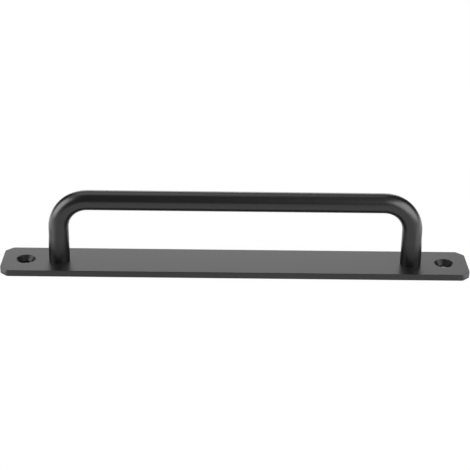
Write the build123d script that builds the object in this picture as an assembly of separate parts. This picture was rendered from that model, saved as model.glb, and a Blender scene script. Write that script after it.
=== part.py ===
from build123d import *
import os
from math import radians, tan

# Sliding door handle: a round bar, bent twice, standing on a flat back plate.
# Sizes are in millimetres. X runs along the plate, Y across it and +Z away from the door.
# The origin is the centre of the plate's back face, which lies against the door.

# Back plate
plate_length = 250.0
plate_width = 28.2
plate_thickness = 3.5  # over a coating about 0.1 mm thick on every face
corner_cut = 4.0  # each corner is clipped at 45 degrees, this far along both edges
corner_round = 2.5  # the clipped corners are eased where they meet the edges
plate_edge_round = 0.25  # sheared edges, softened by the coating

# Fixing holes near the plate's ends, for countersunk 5 mm wood screws
fixing_inset = 12.5  # from the plate's end to the hole's centre
fixing_hole_diameter = 5.4
fixing_sink_diameter = 10.4
fixing_sink_angle = 90.0

# Pull bar
bar_diameter = 10.7  # over the same coating
finger_gap = 29.5  # clear height between the plate and the bar
leg_inset = 30.8  # from the plate's end to the leg's centreline
bend_radius = 15.7  # of the bar's centreline
foot_chamfer = 0.3

# M4 countersunk screws that hold the legs from behind the plate
thread_diameter = 4.0
screw_length = 12.0  # over the head, as countersunk screws are measured
head_diameter = 7.5
head_angle = 90.0
head_rim = 0.3  # straight edge of the head, above its cone
head_sink = 0.2  # the head lies this far inside the plate's back face
screw_tip_chamfer = 0.5
recess_span = 4.2  # cross recess, wing tip to wing tip
recess_wing = 0.9
recess_depth = 1.8
recess_flank_angle = 63.5

# Threaded holes in the feet
thread_clearance = 0.05  # radial, all along the thread
passing_clearance = 0.25  # radial, where the screw passes through the plate
spare_thread = 1.5  # left below the screw's tip
thread_mouth_chamfer = 0.4
drill_point_angle = 118.0

# Worked out from the sizes above
fixing_x = plate_length / 2 - fixing_inset
leg_x = plate_length / 2 - leg_inset
bar_radius = bar_diameter / 2
foot_z = plate_thickness
bar_z = foot_z + finger_gap + bar_radius
thread_radius = thread_diameter / 2
shank_radius = thread_radius - thread_clearance
head_radius = head_diameter / 2
head_slope = tan(radians(head_angle / 2))
tip_z = head_sink + screw_length


def make_back_plate():
    """Flat strip with clipped corners, sunk fixing holes in front and screw seats behind."""
    seat_radius = head_radius + (head_sink + head_rim) * head_slope
    with BuildPart() as plate:
        with BuildSketch() as outline:
            Rectangle(plate_length, plate_width)
            chamfer(outline.vertices(), corner_cut)
            fillet(outline.vertices(), corner_round)
        extrude(amount=plate_thickness)
        back = plate.faces().sort_by(Axis.Z)[0]
        front = plate.faces().sort_by(Axis.Z)[-1]
        fillet(back.edges() + front.edges(), plate_edge_round)
        with Locations(Plane(origin=(0, 0, plate_thickness))):
            with GridLocations(2 * fixing_x, 0, 2, 1):
                CounterSinkHole(
                    radius=fixing_hole_diameter / 2,
                    counter_sink_radius=fixing_sink_diameter / 2,
                    depth=plate_thickness,
                    counter_sink_angle=fixing_sink_angle,
                )
        with Locations(Plane(origin=(0, 0, 0), z_dir=(0, 0, -1))):
            with GridLocations(2 * leg_x, 0, 2, 1):
                CounterSinkHole(
                    radius=thread_radius + passing_clearance,
                    counter_sink_radius=seat_radius,
                    depth=plate_thickness,
                    counter_sink_angle=head_angle,
                )
    return plate.part


def make_threaded_hole():
    """The space drilled up into a foot: chamfered mouth, threaded length and drill point."""
    depth = tip_z + spare_thread - foot_z
    point_height = thread_radius / tan(radians(drill_point_angle / 2))
    mouth_radius = thread_radius + thread_mouth_chamfer
    with BuildPart() as hole:
        Cylinder(thread_radius, depth, align=(Align.CENTER, Align.CENTER, Align.MIN))
        Cone(mouth_radius, thread_radius, thread_mouth_chamfer, align=(Align.CENTER, Align.CENTER, Align.MIN))
        with Locations((0, 0, depth)):
            Cone(thread_radius, 0, point_height, align=(Align.CENTER, Align.CENTER, Align.MIN))
    return hole.part


def make_pull_bar():
    """Round rod swept up one leg, along the grip and down the other leg, with drilled feet."""
    with BuildPart() as bar:
        with BuildLine():
            FilletPolyline(
                (-leg_x, 0, foot_z),
                (-leg_x, 0, bar_z),
                (leg_x, 0, bar_z),
                (leg_x, 0, foot_z),
                radius=bend_radius,
            )
        with BuildSketch(Plane(origin=(-leg_x, 0, foot_z))):
            Circle(bar_radius)
        sweep()
        feet = bar.faces().filter_by(Plane.XY).group_by(Axis.Z)[0]
        chamfer(feet.edges(), foot_chamfer)
        with Locations((-leg_x, 0, foot_z), (leg_x, 0, foot_z)):
            add(make_threaded_hole(), mode=Mode.SUBTRACT)
    return bar.part


def make_leg_screw():
    """One countersunk screw on the Z axis, its head sunk in the back face and its tip up."""
    cone_z = head_sink + head_rim
    neck_z = cone_z + (head_radius - shank_radius) / head_slope
    with BuildPart() as screw:
        with BuildSketch(Plane.XZ):
            with BuildLine():
                Polyline(
                    (0, head_sink),
                    (head_radius, head_sink),
                    (head_radius, cone_z),
                    (shank_radius, neck_z),
                    (shank_radius, tip_z - screw_tip_chamfer),
                    (shank_radius - screw_tip_chamfer, tip_z),
                    (0, tip_z),
                    close=True,
                )
            make_face()
        revolve(axis=Axis.Z)
        for wing_plane in (Plane.XZ, Plane.YZ):
            with BuildSketch(wing_plane.offset(-recess_wing / 2)):
                with Locations((0, head_sink)):
                    Trapezoid(
                        recess_span,
                        recess_depth,
                        recess_flank_angle,
                        align=(Align.CENTER, Align.MIN),
                    )
            extrude(amount=recess_wing, mode=Mode.SUBTRACT)
    return screw.part


def make_leg_screws():
    """The two screws, one under each leg, kept as separate solids in one group."""
    screw = make_leg_screw()
    return Compound([Pos(x, 0, 0) * screw for x in (-leg_x, leg_x)])


os.makedirs("parts", exist_ok=True)
nodes = {
    "back_plate": make_back_plate(),
    "pull_bar": make_pull_bar(),
    "leg_screws": make_leg_screws(),
}
for name, shape in nodes.items():
    export_step(shape, f"parts/{name}.step")
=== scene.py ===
from math import atan2, copysign, cos, pi, radians, sin, tan
import bmesh
import bpy
from mathutils import Matrix, Vector


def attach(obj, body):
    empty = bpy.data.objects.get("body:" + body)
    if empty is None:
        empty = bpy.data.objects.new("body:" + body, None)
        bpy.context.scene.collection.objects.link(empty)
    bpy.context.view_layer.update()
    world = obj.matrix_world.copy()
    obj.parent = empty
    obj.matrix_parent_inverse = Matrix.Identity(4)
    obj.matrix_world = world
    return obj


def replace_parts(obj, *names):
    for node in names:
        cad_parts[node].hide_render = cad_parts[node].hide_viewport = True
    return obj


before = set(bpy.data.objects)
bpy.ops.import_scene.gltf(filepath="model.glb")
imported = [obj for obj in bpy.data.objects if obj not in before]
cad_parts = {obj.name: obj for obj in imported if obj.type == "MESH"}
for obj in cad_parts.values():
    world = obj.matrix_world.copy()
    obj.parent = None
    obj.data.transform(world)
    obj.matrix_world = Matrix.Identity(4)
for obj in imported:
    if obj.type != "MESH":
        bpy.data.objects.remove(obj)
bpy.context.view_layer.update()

# Lengths are in metres, and this turns millimetres into them
MM = 0.001

# Camera, worked out from the photograph's vanishing lines and the handle's outline
IMAGE_SIDE = 470
FOCAL_PIXELS = 1359.5
SENSOR_WIDTH = 36.0
CAMERA_PLACE = Vector((-6.3, -657.2, 326.2)) * MM
CAMERA_DROP = 0.43734  # radians below the horizon
CAMERA_TURN = 0.00917  # radians to the right of +Y
CAMERA_ROLL = 0.01463  # radians, with the camera's right side raised

# Sizes of the solids that this script works beside
PLATE_LENGTH = 250.0 * MM
PLATE_WIDTH = 28.2 * MM
PLATE_TOP = 3.5 * MM
FIXING_X = 112.5 * MM
LEG_X = 94.2 * MM
BAR_RADIUS = 5.35 * MM

# Powder coat on the rod and on the strip
COAT_BLACK = "#101010"
COAT_IOR = 1.5
ROD_SMOOTHEST = 0.27  # roughness in the hollows of the orange peel
ROD_ROUGHEST = 0.33  # and on its crests
STRIP_SMOOTHEST = 0.4
STRIP_ROUGHEST = 0.45
PEEL_SPACING = 0.9 * MM  # from crest to crest
PEEL_DEPTH = 0.02 * MM
PEEL_STRENGTH = 0.05

# Painted shade, as reflection levels of the shader: the coat's reflection is turned down at the feet
# and in the fixing holes
FULL_GLOSS = 0.5  # a clear polyester face
CORNER_SHADE_GLOSS = 0.27
SHADE_DARKEST_BELOW = PLATE_TOP + 4.0 * MM  # where the painted shade on a leg is darkest
SHADE_ENDS_ABOVE = PLATE_TOP + 14.0 * MM
HOLE_SHADE_GLOSS = 0.33
HOLE_SHADE_WITHIN = 4.9 * MM  # of the middle of a fixing hole's mouth
HOLE_SHADE_ENDS_BEYOND = 5.3 * MM

# Zinc plate on the leg screws
ZINC_GREY = "#c3c6c9"
ZINC_SMOOTHEST = 0.24
ZINC_ROUGHEST = 0.4
ZINC_CLOUD = 0.6 * MM  # from one cloudy place of the plating to the next

# Real edges turn by more than this many degrees from face to face
SHARP_EDGE = 32

# Skirt round each foot, where the leg grows a little thicker down to the plate.
# Each pair is a height above the plate and the growth in radius there, in millimetres.
SKIRT_GROWTH = [
    (6.2, 0.22),
    (8.2, 0.2),
    (10.2, 0.15),
    (12.2, 0.08),
    (14.0, 0.02),
    (15.4, -0.02),
]
SKIRT_LEAN = 0.85  # each ring moves out by this share of its growth, so the outer side grows most
SKIRT_OVERLAP = 0.02 * MM  # inside the bar and the plate, so that no gap shows
SKIRT_FOOT = 0.4 * MM  # fills the bar's own chamfer
SKIRT_STEPS = 96

# Leg screws: M4 x 12, countersunk, cross recess, as large as the solids that they replace
HEAD_Z = 0.2 * MM
HEAD_RIM = 0.3 * MM
HEAD_RADIUS = 3.75 * MM
TIP_Z = 12.2 * MM
TIP_CHAMFER = 0.5 * MM
THREAD_CREST = 1.95 * MM
THREAD_ROOT = 1.55 * MM
THREAD_PITCH = 0.7 * MM
THREAD_FLANK = 0.4  # the share of a pitch that each flank takes
THREAD_START = 4.0 * MM  # the thread fades in above the head's cone
THREAD_ROWS = 10  # rows of faces in one pitch
SCREW_STEPS = 48
SCREW_MERGE = 0.001 * MM  # points that are closer together become one
RECESS_SPAN = 4.2 * MM
RECESS_FLOOR_SPAN = 2.405 * MM
RECESS_WING = 0.9 * MM
RECESS_DEPTH = 1.8 * MM

# White sheet that the handle lies on
WHITE = (1.0, 1.0, 1.0, 1.0)
PAPER_GREY = "#f0f0f0"
FLOOR_SIDE = 6.0
FLOOR_DROP = 0.05 * MM  # keeps the floor clear of the plate's back face
FLOOR_INSET = 1.0 * MM  # the floor reaches this far under the plate
FLOOR_GLOW = 0.9  # the share of the floor's white that no shadow darkens
FLOOR_WHITE = 1.0
PATCH_RADIUS = 5.5 * MM
PATCH_STEPS = 48
# Painted shade under the left hole: its patch is grey, as the left hole shows no light below it, the
# right one a little: side, name, colour
SHADED_PATCHES = [
    (-1, "shaded_paper_left", "#6a6a6a"),
    (1, "shaded_paper_right", "#f0f0f0"),
]

# Softboxes: name, azimuth and height they hang at, how wide and how tall they look, all in
# degrees, and how many times as bright as the paper they are
SOFTBOX_DISTANCE = 1.4
SOFTBOXES = [
    ("left_softbox", -101, 22, 43, 42, 5.2),
    ("right_softbox", 121, 24, 60, 46, 4.4),
    ("back_softbox", -3, 14, 44, 24, 2.05),
    ("top_softbox", -35, 72, 40, 30, 0.7),
]

# Dark cloths: name, the azimuths and the heights they hang between, in degrees, and their grey
CURTAIN_RADIUS = 1.8
CURTAIN_ROWS = 8
CURTAIN_STEPS = 12
CURTAINS = [
    ("front_right_curtain", (151, 176), (-2, 80), 0.35),
    ("front_curtain", (176, 236), (-2, 89), 0.0),
    ("right_back_curtain", (28, 80), (-2, 60), 0.0),
    ("left_back_curtain", (286, 336), (-2, 45), 0.0),
    ("back_curtain", (336, 388), (32, 60), 0.4),
    ("right_top_curtain", (30, 148), (60, 89), 0.2),
    ("left_top_curtain", (236, 270), (60, 89), 0.1),
]

# Bounce cards beyond the plate's ends: name, side, and how bright beside the paper
CARD_NEAR = 125.6 * MM  # from the handle's middle, just beyond the plate's end
CARD_FAR = 500.0 * MM
CARD_FRONT = -60.0 * MM
CARD_BACK = 300.0 * MM
CARD_CUT_FRONT = -10.0 * MM  # behind this line the card starts further out
CARD_CUT = 152.0 * MM  # where it starts there
CARD_LIFT = 0.1 * MM
BOUNCE_CARDS = [
    ("left_bounce_card", -1, 2.35),
    ("right_bounce_card", 1, 2.1),
]


def linear(hex_colour):
    """An sRGB hex colour as a linear RGBA tuple."""
    parts = [int(hex_colour[i:i + 2], 16) / 255 for i in (1, 3, 5)]
    return tuple(c / 12.92 if c <= 0.04045 else ((c + 0.055) / 1.055) ** 2.4 for c in parts) + (1.0,)


def add_node(tree, kind, settings=None, links=None):
    """Adds a node with its properties or sockets set, and its inputs linked to other outputs."""
    node = tree.nodes.new(kind)
    for key, value in (settings or {}).items():
        if isinstance(key, int) or key in node.inputs:
            node.inputs[key].default_value = value
        else:
            setattr(node, key, value)
    for key, source in (links or {}).items():
        tree.links.new(source, node.inputs[key])
    return node


def new_material(name):
    """An empty node material and its tree."""
    material = bpy.data.materials.new(name)
    material.use_nodes = True
    material.node_tree.nodes.clear()
    return material, material.node_tree


def painted_shade_at_plate(tree, place):
    """Painted shade: the coat's reflection on a leg is turned down towards the plate, which darkens
    the corner at the foot.
    """
    height = add_node(tree, "ShaderNodeSeparateXYZ", links={"Vector": place})
    gloss = add_node(
        tree,
        "ShaderNodeMapRange",
        {
            "From Min": SHADE_DARKEST_BELOW,
            "From Max": SHADE_ENDS_ABOVE,
            "To Min": CORNER_SHADE_GLOSS,
            "To Max": FULL_GLOSS,
        },
        {"Value": height.outputs["Z"]},
    )
    return gloss.outputs["Result"]


def painted_shade_in_holes(tree, place):
    """Painted shade: the coat's reflection is turned down on the walls of the fixing holes, which
    darkens them.
    """
    mirrored = add_node(tree, "ShaderNodeVectorMath", {"operation": "ABSOLUTE"}, {0: place})
    reach = add_node(
        tree,
        "ShaderNodeVectorMath",
        {"operation": "DISTANCE", 1: (FIXING_X, 0.0, PLATE_TOP)},
        {0: mirrored.outputs["Vector"]},
    )
    gloss = add_node(
        tree,
        "ShaderNodeMapRange",
        {
            "From Min": HOLE_SHADE_WITHIN,
            "From Max": HOLE_SHADE_ENDS_BEYOND,
            "To Min": HOLE_SHADE_GLOSS,
            "To Max": FULL_GLOSS,
        },
        {"Value": reach.outputs["Value"]},
    )
    return gloss.outputs["Result"]


def powder_coat(name, smoothest, roughest, painted_shade=None):
    """Polyester powder coat, sprayed and baked on steel: a satin black that is never quite flat."""
    material, tree = new_material(name)
    place = add_node(tree, "ShaderNodeTexCoord")
    # Baked powder flows into a fine orange peel
    peel = add_node(
        tree,
        "ShaderNodeTexNoise",
        {"Scale": 1 / PEEL_SPACING, "Detail": 2.0, "Roughness": 0.5},
        {"Vector": place.outputs["Object"]},
    )
    peel_bump = add_node(
        tree,
        "ShaderNodeBump",
        {"Strength": PEEL_STRENGTH, "Distance": PEEL_DEPTH},
        {"Height": peel.outputs["Fac"]},
    )
    roughness = add_node(
        tree,
        "ShaderNodeMapRange",
        {"To Min": smoothest, "To Max": roughest},
        {"Value": peel.outputs["Fac"]},
    )
    coat = add_node(
        tree,
        "ShaderNodeBsdfPrincipled",
        {"Base Color": linear(COAT_BLACK), "IOR": COAT_IOR},
        {"Roughness": roughness.outputs["Result"], "Normal": peel_bump.outputs["Normal"]},
    )
    # Painted shade where a mask is given: the reflection level is turned down by place
    if painted_shade:
        gloss = painted_shade(tree, place.outputs["Object"])
        tree.links.new(gloss, coat.inputs["Specular IOR Level"])
    add_node(tree, "ShaderNodeOutputMaterial", links={"Surface": coat.outputs["BSDF"]})
    return material


def zinc_plate():
    """Bright zinc plate on turned steel: a pale metal whose plating is a little cloudy."""
    material, tree = new_material("bright_zinc_plated_steel")
    place = add_node(tree, "ShaderNodeTexCoord")
    cloud = add_node(
        tree,
        "ShaderNodeTexNoise",
        {"Scale": 1 / ZINC_CLOUD, "Detail": 3.0},
        {"Vector": place.outputs["Object"]},
    )
    roughness = add_node(
        tree,
        "ShaderNodeMapRange",
        {"To Min": ZINC_SMOOTHEST, "To Max": ZINC_ROUGHEST},
        {"Value": cloud.outputs["Fac"]},
    )
    metal = add_node(
        tree,
        "ShaderNodeBsdfPrincipled",
        {"Base Color": linear(ZINC_GREY), "Metallic": 1.0},
        {"Roughness": roughness.outputs["Result"]},
    )
    add_node(tree, "ShaderNodeOutputMaterial", links={"Surface": metal.outputs["BSDF"]})
    return material


def finish_piece(name, bm, material):
    """Turns a finished bmesh into a piece of the handle, shaded smooth but for its real edges."""
    bmesh.ops.recalc_face_normals(bm, faces=bm.faces)
    mesh = bpy.data.meshes.new(name)
    bm.to_mesh(mesh)
    bm.free()
    mesh.shade_smooth()
    mesh.set_sharp_from_angle(angle=radians(SHARP_EDGE))
    mesh.materials.append(material)
    piece = bpy.data.objects.new(name, mesh)
    bpy.context.collection.objects.link(piece)
    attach(piece, "root")
    return piece


def spin_profile(bm, points, steps, closed):
    """Spins a run of (radius, z) points round the Z axis."""
    verts = [bm.verts.new((radius, 0, z)) for radius, z in points]
    edges = [bm.edges.new(pair) for pair in zip(verts, verts[1:])]
    if closed:
        edges.append(bm.edges.new((verts[-1], verts[0])))
    bmesh.ops.spin(
        bm,
        geom=verts + edges,
        cent=(0, 0, 0),
        axis=(0, 0, 1),
        angle=2 * pi,
        steps=steps,
        use_merge=True,
    )


def make_foot_skirt(side):
    """The slim skirt of weld and coating that closes the joint where a leg meets the plate."""
    inner = BAR_RADIUS - SKIRT_OVERLAP
    low = PLATE_TOP - SKIRT_OVERLAP
    widest = BAR_RADIUS + SKIRT_GROWTH[0][1] * MM
    profile = [(inner - SKIRT_FOOT, low), (widest, low)]
    profile += [(BAR_RADIUS + growth * MM, PLATE_TOP + height * MM) for height, growth in SKIRT_GROWTH]
    profile.append((inner, PLATE_TOP + SKIRT_FOOT))
    bm = bmesh.new()
    spin_profile(bm, profile, SKIRT_STEPS, closed=True)
    for vert in bm.verts:
        growth = max(0.0, vert.co.xy.length - BAR_RADIUS)
        vert.co.x += side * (LEG_X + SKIRT_LEAN * growth)
    return bm


def thread_radius(angle, z):
    """How far the thread stands from the screw's axis: a V that fades in, chamfered at the tip."""
    phase = (z / THREAD_PITCH - angle / (2 * pi)) % 1.0
    ridge = 1.0 - min(1.0, abs(phase - 0.5) / THREAD_FLANK)
    fade = min(1.0, max(0.0, (z - THREAD_START) / THREAD_PITCH))
    rise = THREAD_ROOT + (THREAD_CREST - THREAD_ROOT) * ridge
    full = THREAD_CREST + (rise - THREAD_CREST) * fade
    return min(full, THREAD_CREST - max(0.0, z - (TIP_Z - TIP_CHAMFER)))


def make_leg_screws():
    """Two countersunk screws, heads down, each with a rolled thread and a cross recess."""
    bm = bmesh.new()
    rows = round((TIP_Z - THREAD_START) / (THREAD_PITCH / THREAD_ROWS))
    profile = [
        (HEAD_RADIUS, HEAD_Z),
        (HEAD_RADIUS, HEAD_Z + HEAD_RIM),
        (THREAD_CREST, HEAD_Z + HEAD_RIM + HEAD_RADIUS - THREAD_CREST),
    ]
    for k in range(rows + 1):
        profile.append((THREAD_CREST, THREAD_START + (TIP_Z - THREAD_START) * k / rows))
    profile.append((0, TIP_Z))
    spin_profile(bm, profile, SCREW_STEPS, closed=False)
    bmesh.ops.remove_doubles(bm, verts=bm.verts, dist=SCREW_MERGE)
    for vert in bm.verts:
        reach = vert.co.xy.length
        if vert.co.z >= THREAD_START and reach > THREAD_ROOT:
            vert.co.xy *= thread_radius(atan2(vert.co.y, vert.co.x), vert.co.z) / reach
    rim = [edge for edge in bm.edges if edge.is_boundary]
    # The recess is a cross, drawn by its corners in the head and pushed up into it
    wing, reach = RECESS_WING / 2, RECESS_SPAN / 2
    corners = []
    for turn in range(4):
        for x, y in ((wing, wing), (wing, reach), (-wing, reach)):
            for _ in range(turn):
                x, y = -y, x
            corners.append(bm.verts.new((x, y, HEAD_Z)))
    mouth = [bm.edges.new((corners[i - 1], corners[i])) for i in range(len(corners))]
    pushed = bmesh.ops.extrude_edge_only(bm, edges=mouth)["geom"]
    for vert in (item for item in pushed if isinstance(item, bmesh.types.BMVert)):
        vert.co.z += RECESS_DEPTH
        # The ends of the wings draw in towards the bottom
        for axis in (0, 1):
            if abs(vert.co[axis]) > RECESS_WING:
                vert.co[axis] = copysign(RECESS_FLOOR_SPAN / 2, vert.co[axis])
    bottom = [item for item in pushed if isinstance(item, bmesh.types.BMEdge) and item.is_boundary]
    bmesh.ops.triangle_fill(bm, use_beauty=True, edges=bottom)
    bmesh.ops.triangle_fill(bm, use_beauty=True, edges=rim + mouth)
    # The second screw is a copy of the first
    first = bm.verts[:]
    copied = bmesh.ops.duplicate(bm, geom=bm.verts[:] + bm.edges[:] + bm.faces[:])["geom"]
    second = [item for item in copied if isinstance(item, bmesh.types.BMVert)]
    bmesh.ops.translate(bm, verts=first, vec=(-LEG_X, 0, 0))
    bmesh.ops.translate(bm, verts=second, vec=(LEG_X, 0, 0))
    return bm


def make_camera():
    """The photograph's viewpoint: a long lens, looking down on the handle from in front."""
    ahead = Vector((
        sin(CAMERA_TURN) * cos(CAMERA_DROP),
        cos(CAMERA_TURN) * cos(CAMERA_DROP),
        -sin(CAMERA_DROP),
    ))
    level = Vector((cos(CAMERA_TURN), -sin(CAMERA_TURN), 0.0))
    above = level.cross(ahead)
    right = cos(CAMERA_ROLL) * level + sin(CAMERA_ROLL) * above
    up = cos(CAMERA_ROLL) * above - sin(CAMERA_ROLL) * level
    lens = bpy.data.cameras.new("camera")
    lens.sensor_width = SENSOR_WIDTH
    lens.lens = FOCAL_PIXELS / IMAGE_SIDE * SENSOR_WIDTH
    camera = bpy.data.objects.new("camera", lens)
    turn = Matrix((right, up, -ahead)).transposed().to_4x4()
    camera.matrix_world = Matrix.Translation(CAMERA_PLACE) @ turn
    bpy.context.collection.objects.link(camera)
    bpy.context.scene.camera = camera


def stage_piece(name, bm, material):
    """Links a finished mesh as part of the stage, which no exported piece counts."""
    mesh = bpy.data.meshes.new(name)
    bm.to_mesh(mesh)
    bm.free()
    mesh.materials.append(material)
    piece = bpy.data.objects.new(name, mesh)
    bpy.context.collection.objects.link(piece)
    return piece


def one_sided(tree, surface):
    """Lets the camera look up through the paper from below, so that the handle's back shows."""
    path = add_node(tree, "ShaderNodeLightPath")
    side = add_node(tree, "ShaderNodeNewGeometry")
    below = add_node(
        tree,
        "ShaderNodeMath",
        {"operation": "MULTIPLY"},
        {0: path.outputs["Is Camera Ray"], 1: side.outputs["Backfacing"]},
    )
    clear = add_node(tree, "ShaderNodeBsdfTransparent")
    both = add_node(
        tree,
        "ShaderNodeMixShader",
        links={0: below.outputs[0], 1: surface.outputs[0], 2: clear.outputs[0]},
    )
    add_node(tree, "ShaderNodeOutputMaterial", links={"Surface": both.outputs[0]})


def white_paper():
    """The white sheet. It glows to the camera and in the gloss, so its shadow stays faint."""
    material, tree = new_material("white_paper")
    paper = add_node(tree, "ShaderNodeBsdfDiffuse", {"Color": linear(PAPER_GREY)})
    glow = add_node(tree, "ShaderNodeEmission", {"Color": WHITE, "Strength": FLOOR_WHITE})
    path = add_node(tree, "ShaderNodeLightPath")
    seen = add_node(
        tree,
        "ShaderNodeMath",
        {"operation": "MAXIMUM"},
        {0: path.outputs["Is Camera Ray"], 1: path.outputs["Is Glossy Ray"]},
    )
    seen_or_through = add_node(
        tree,
        "ShaderNodeMath",
        {"operation": "MAXIMUM"},
        {0: seen.outputs[0], 1: path.outputs["Is Transmission Ray"]},
    )
    share = add_node(
        tree,
        "ShaderNodeMath",
        {"operation": "MULTIPLY", 1: FLOOR_GLOW},
        {0: seen_or_through.outputs[0]},
    )
    surface = add_node(
        tree,
        "ShaderNodeMixShader",
        links={0: share.outputs[0], 1: paper.outputs[0], 2: glow.outputs[0]},
    )
    one_sided(tree, surface)
    return material


def shaded_paper(name, colour):
    """The sheet under a fixing hole, where hardly any light comes: it has none of the glow."""
    material, tree = new_material(name)
    paper = add_node(tree, "ShaderNodeBsdfDiffuse", {"Color": linear(colour)})
    one_sided(tree, paper)
    return material


def make_floor():
    """A white sheet, cut away under the plate, with a shaded patch of it under each fixing hole."""
    inner_x = PLATE_LENGTH / 2 - FLOOR_INSET
    inner_y = PLATE_WIDTH / 2 - FLOOR_INSET
    bm = bmesh.new()
    sheet = Matrix.Translation((0, 0, -FLOOR_DROP))
    bmesh.ops.create_grid(bm, x_segments=3, y_segments=3, size=FLOOR_SIDE / 2, matrix=sheet)
    # The grid's inner lines move to the edges of the part that is cut away
    for vert in bm.verts:
        if abs(vert.co.x) < FLOOR_SIDE / 4:
            vert.co.x = copysign(inner_x, vert.co.x)
        if abs(vert.co.y) < FLOOR_SIDE / 4:
            vert.co.y = copysign(inner_y, vert.co.y)
    cut_out = [face for face in bm.faces if face.calc_center_median().xy.length < inner_y]
    bmesh.ops.delete(bm, geom=cut_out, context="FACES")
    stage_piece("floor", bm, white_paper())
    for side, name, colour in SHADED_PATCHES:
        bm = bmesh.new()
        bmesh.ops.create_circle(
            bm,
            cap_ends=True,
            segments=PATCH_STEPS,
            radius=PATCH_RADIUS,
            matrix=Matrix.Translation((side * FIXING_X, 0, -FLOOR_DROP)),
        )
        stage_piece(name, bm, shaded_paper(name, colour))


def make_world():
    """Plain studio white all round."""
    world = bpy.data.worlds.new("studio")
    world.use_nodes = True
    tree = world.node_tree
    tree.nodes.clear()
    room = add_node(tree, "ShaderNodeBackground", {"Color": WHITE, "Strength": 1.0})
    add_node(tree, "ShaderNodeOutputWorld", links={"Surface": room.outputs["Background"]})
    bpy.context.scene.world = world


def facing(azimuth, height, distance):
    """A place that faces the handle, by azimuth clockwise from +Y and height, both in degrees."""
    place = distance * Vector((
        sin(radians(azimuth)) * cos(radians(height)),
        cos(radians(azimuth)) * cos(radians(height)),
        sin(radians(height)),
    ))
    return Matrix.Translation(place) @ place.to_track_quat("Z", "Y").to_matrix().to_4x4()


def make_softbox(name, azimuth, height, width, tall, radiance):
    """An area lamp that faces the handle."""
    lamp = bpy.data.lights.new(name, "AREA")
    lamp.shape = "RECTANGLE"
    lamp.size = 2 * SOFTBOX_DISTANCE * tan(radians(width / 2))
    lamp.size_y = 2 * SOFTBOX_DISTANCE * tan(radians(tall / 2))
    lamp.energy = radiance * pi * lamp.size * lamp.size_y
    softbox = bpy.data.objects.new(name, lamp)
    softbox.matrix_world = facing(azimuth, height, SOFTBOX_DISTANCE)
    bpy.context.collection.objects.link(softbox)


def stage_glow(name, bm, radiance):
    """A stage piece with an even glow of its own, which only the handle and the paper see."""
    material, tree = new_material(name)
    glow = add_node(tree, "ShaderNodeEmission", {"Color": WHITE, "Strength": radiance})
    add_node(tree, "ShaderNodeOutputMaterial", links={"Surface": glow.outputs[0]})
    piece = stage_piece(name, bm, material)
    piece.visible_camera = False
    piece.visible_shadow = False


def make_curtain(name, azimuths, heights, grey):
    """Part of a dome of dark cloth, which keeps the white room out of the coat's gloss."""
    start = radians(azimuths[0])
    bm = bmesh.new()
    arc = []
    for j in range(CURTAIN_ROWS + 1):
        height = radians(heights[0] + (heights[1] - heights[0]) * j / CURTAIN_ROWS)
        flat = CURTAIN_RADIUS * cos(height)
        arc.append(bm.verts.new((flat * sin(start), flat * cos(start), CURTAIN_RADIUS * sin(height))))
    edges = [bm.edges.new(pair) for pair in zip(arc, arc[1:])]
    bmesh.ops.spin(
        bm,
        geom=arc + edges,
        cent=(0, 0, 0),
        axis=(0, 0, -1),
        angle=radians(azimuths[1] - azimuths[0]),
        steps=CURTAIN_STEPS,
    )
    stage_glow(name, bm, grey)


def make_bounce_card(name, side, radiance):
    """A bright card on the floor beyond one end of the plate, which lights that leg from below."""
    bm = bmesh.new()
    lifted = Matrix.Translation((0, 0, CARD_LIFT))
    bmesh.ops.create_grid(bm, x_segments=2, y_segments=2, size=1.0, matrix=lifted)
    for vert in bm.verts:
        column, row = round(vert.co.x * side), round(vert.co.y)
        vert.co.x = side * (CARD_NEAR, CARD_CUT, CARD_FAR)[column + 1]
        vert.co.y = (CARD_FRONT, CARD_CUT_FRONT, CARD_BACK)[row + 1]
    cut_out = []
    for face in bm.faces:
        middle = face.calc_center_median()
        if abs(middle.x) < CARD_CUT and middle.y > CARD_CUT_FRONT:
            cut_out.append(face)
    bmesh.ops.delete(bm, geom=cut_out, context="FACES")
    stage_glow(name, bm, radiance)


BAR_COAT = powder_coat("black_powder_coat_on_rod", ROD_SMOOTHEST, ROD_ROUGHEST)
# The corner's coat carries painted shade at the feet
JOINT_COAT_WITH_SHADE = powder_coat("black_powder_coat_with_painted_corner_shade", ROD_SMOOTHEST, ROD_ROUGHEST, painted_shade_at_plate)
# The strip's coat carries painted shade in the fixing holes
PLATE_COAT_WITH_HOLE_SHADE = powder_coat("black_powder_coat_on_strip_with_painted_hole_shade", STRIP_SMOOTHEST, STRIP_ROUGHEST, painted_shade_in_holes)
ZINC = zinc_plate()
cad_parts["back_plate"].material_slots[0].material = PLATE_COAT_WITH_HOLE_SHADE
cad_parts["pull_bar"].material_slots[0].material = BAR_COAT
for side, name in ((-1, "left"), (1, "right")):
    finish_piece(f"foot_skirt_{name}", make_foot_skirt(side), JOINT_COAT_WITH_SHADE)
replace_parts(finish_piece("threaded_leg_screws", make_leg_screws(), ZINC), "leg_screws")

make_camera()
make_floor()
make_world()
for softbox in SOFTBOXES:
    make_softbox(*softbox)
for curtain in CURTAINS:
    make_curtain(*curtain)
for card in BOUNCE_CARDS:
    make_bounce_card(*card)
bpy.context.scene.view_settings.view_transform = "Standard"
